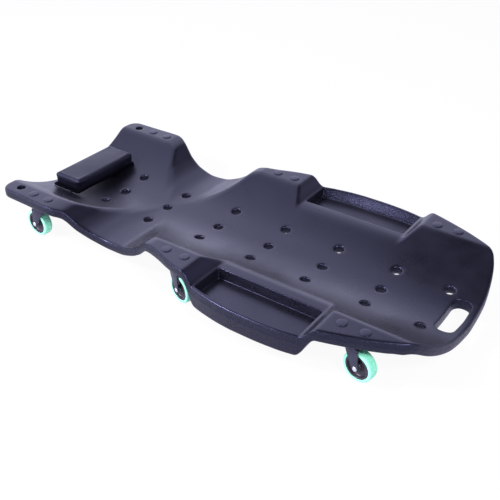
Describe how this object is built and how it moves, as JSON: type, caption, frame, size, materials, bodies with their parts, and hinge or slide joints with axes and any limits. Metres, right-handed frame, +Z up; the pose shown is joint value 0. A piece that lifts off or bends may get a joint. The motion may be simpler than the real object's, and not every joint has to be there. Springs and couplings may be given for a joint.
{
  "type": "mechanic creeper",
  "caption": "Low moulded creeper board on swivel casters: dished deck with a padded headrest, a tool tray on each side and a hand slot at the foot end.",
  "frame": {"origin": "on the floor plane, under the middle of the deck's length and width", "axes": "+X towards the foot end (the end with the hand slot), +Y to the left of a person lying with the head on the pad, +Z up"},
  "size_m": [1.0214, 0.5152, 0.1037],
  "materials": {
    "deck_plastic": "satin, fine moulded grain",
    "pad_vinyl": "satin vinyl cover over foam",
    "board_plastic": "matt",
    "hub_plastic": "satin moulded",
    "tyre_green": "cast polyurethane, smooth side and lightly ground tread",
    "dark_steel": "black electro-coated sheet steel, satin",
    "zinc_steel": "bright zinc plated"
  },
  "bodies": {
    "deck_body": {"deck": "deck_plastic", "headrest_pad": "pad_vinyl", "headrest_board": "board_plastic", "headrest_screw_1": "zinc_steel", "headrest_screw_2": "zinc_steel", "head_right_rivet_1": "board_plastic", "head_right_rivet_2": "board_plastic", "head_right_plate": "dark_steel", "head_right_race": "dark_steel", "head_right_kingpin": "zinc_steel", "head_left_rivet_1": "board_plastic", "head_left_rivet_2": "board_plastic", "head_left_plate": "dark_steel", "head_left_race": "dark_steel", "head_left_kingpin": "zinc_steel", "middle_right_rivet_1": "board_plastic", "middle_right_rivet_2": "board_plastic", "middle_right_plate": "dark_steel", "middle_right_race": "dark_steel", "middle_right_kingpin": "zinc_steel", "middle_left_rivet_1": "board_plastic", "middle_left_rivet_2": "board_plastic", "middle_left_plate": "dark_steel", "middle_left_race": "dark_steel", "middle_left_kingpin": "zinc_steel", "foot_right_rivet_1": "board_plastic", "foot_right_rivet_2": "board_plastic", "foot_right_plate": "dark_steel", "foot_right_race": "dark_steel", "foot_right_kingpin": "zinc_steel", "foot_left_rivet_1": "board_plastic", "foot_left_rivet_2": "board_plastic", "foot_left_plate": "dark_steel", "foot_left_race": "dark_steel", "foot_left_kingpin": "zinc_steel"},
    "head_right_fork": {"head_right_fork": "dark_steel", "head_right_axle": "zinc_steel"},
    "head_right_wheel": {"head_right_hub": "hub_plastic", "head_right_tyre": "tyre_green"},
    "head_left_fork": {"head_left_fork": "dark_steel", "head_left_axle": "zinc_steel"},
    "head_left_wheel": {"head_left_hub": "hub_plastic", "head_left_tyre": "tyre_green"},
    "middle_right_fork": {"middle_right_fork": "dark_steel", "middle_right_axle": "zinc_steel"},
    "middle_right_wheel": {"middle_right_hub": "hub_plastic", "middle_right_tyre": "tyre_green"},
    "middle_left_fork": {"middle_left_fork": "dark_steel", "middle_left_axle": "zinc_steel"},
    "middle_left_wheel": {"middle_left_hub": "hub_plastic", "middle_left_tyre": "tyre_green"},
    "foot_right_fork": {"foot_right_fork": "dark_steel", "foot_right_axle": "zinc_steel"},
    "foot_right_wheel": {"foot_right_hub": "hub_plastic", "foot_right_tyre": "tyre_green"},
    "foot_left_fork": {"foot_left_fork": "dark_steel", "foot_left_axle": "zinc_steel"},
    "foot_left_wheel": {"foot_left_hub": "hub_plastic", "foot_left_tyre": "tyre_green"}
  },
  "joints": [
    {"name": "head_right_swivel", "type": "hinge", "parent": "deck_body", "child": "head_right_fork", "pos_m": [-0.40094, -0.19586, 0.0721], "axis": [0, 0, 1], "continuous": true},
    {"name": "head_right_roll", "type": "hinge", "parent": "head_right_fork", "child": "head_right_wheel", "pos_m": [-0.42091, -0.19482, 0.03065], "axis": [-0.0523, -0.9986, 0], "continuous": true},
    {"name": "head_left_swivel", "type": "hinge", "parent": "deck_body", "child": "head_left_fork", "pos_m": [-0.40094, 0.19586, 0.0721], "axis": [0, 0, 1], "continuous": true},
    {"name": "head_left_roll", "type": "hinge", "parent": "head_left_fork", "child": "head_left_wheel", "pos_m": [-0.42074, 0.19865, 0.03065], "axis": [-0.1392, -0.9903, 0], "continuous": true},
    {"name": "middle_right_swivel", "type": "hinge", "parent": "deck_body", "child": "middle_right_fork", "pos_m": [-0.02043, -0.19586, 0.0721], "axis": [0, 0, 1], "continuous": true},
    {"name": "middle_right_roll", "type": "hinge", "parent": "middle_right_fork", "child": "middle_right_wheel", "pos_m": [-0.00127, -0.20161, 0.03065], "axis": [0.2874, 0.9578, 0], "continuous": true},
    {"name": "middle_left_swivel", "type": "hinge", "parent": "deck_body", "child": "middle_left_fork", "pos_m": [-0.02043, 0.19586, 0.0721], "axis": [0, 0, 1], "continuous": true},
    {"name": "middle_left_roll", "type": "hinge", "parent": "middle_left_fork", "child": "middle_left_wheel", "pos_m": [-0.00141, 0.20204, 0.03065], "axis": [-0.309, 0.9511, 0], "continuous": true},
    {"name": "foot_right_swivel", "type": "hinge", "parent": "deck_body", "child": "foot_right_fork", "pos_m": [0.37234, -0.19586, 0.0721], "axis": [0, 0, 1], "continuous": true},
    {"name": "foot_right_roll", "type": "hinge", "parent": "foot_right_fork", "child": "foot_right_wheel", "pos_m": [0.3921, -0.19892, 0.03065], "axis": [0.153, 0.9882, 0], "continuous": true},
    {"name": "foot_left_swivel", "type": "hinge", "parent": "deck_body", "child": "foot_left_fork", "pos_m": [0.37234, 0.19586, 0.0721], "axis": [0, 0, 1], "continuous": true},
    {"name": "foot_left_roll", "type": "hinge", "parent": "foot_left_fork", "child": "foot_left_wheel", "pos_m": [0.39223, 0.19795, 0.03065], "axis": [-0.1045, 0.9945, 0], "continuous": true}
  ]
}
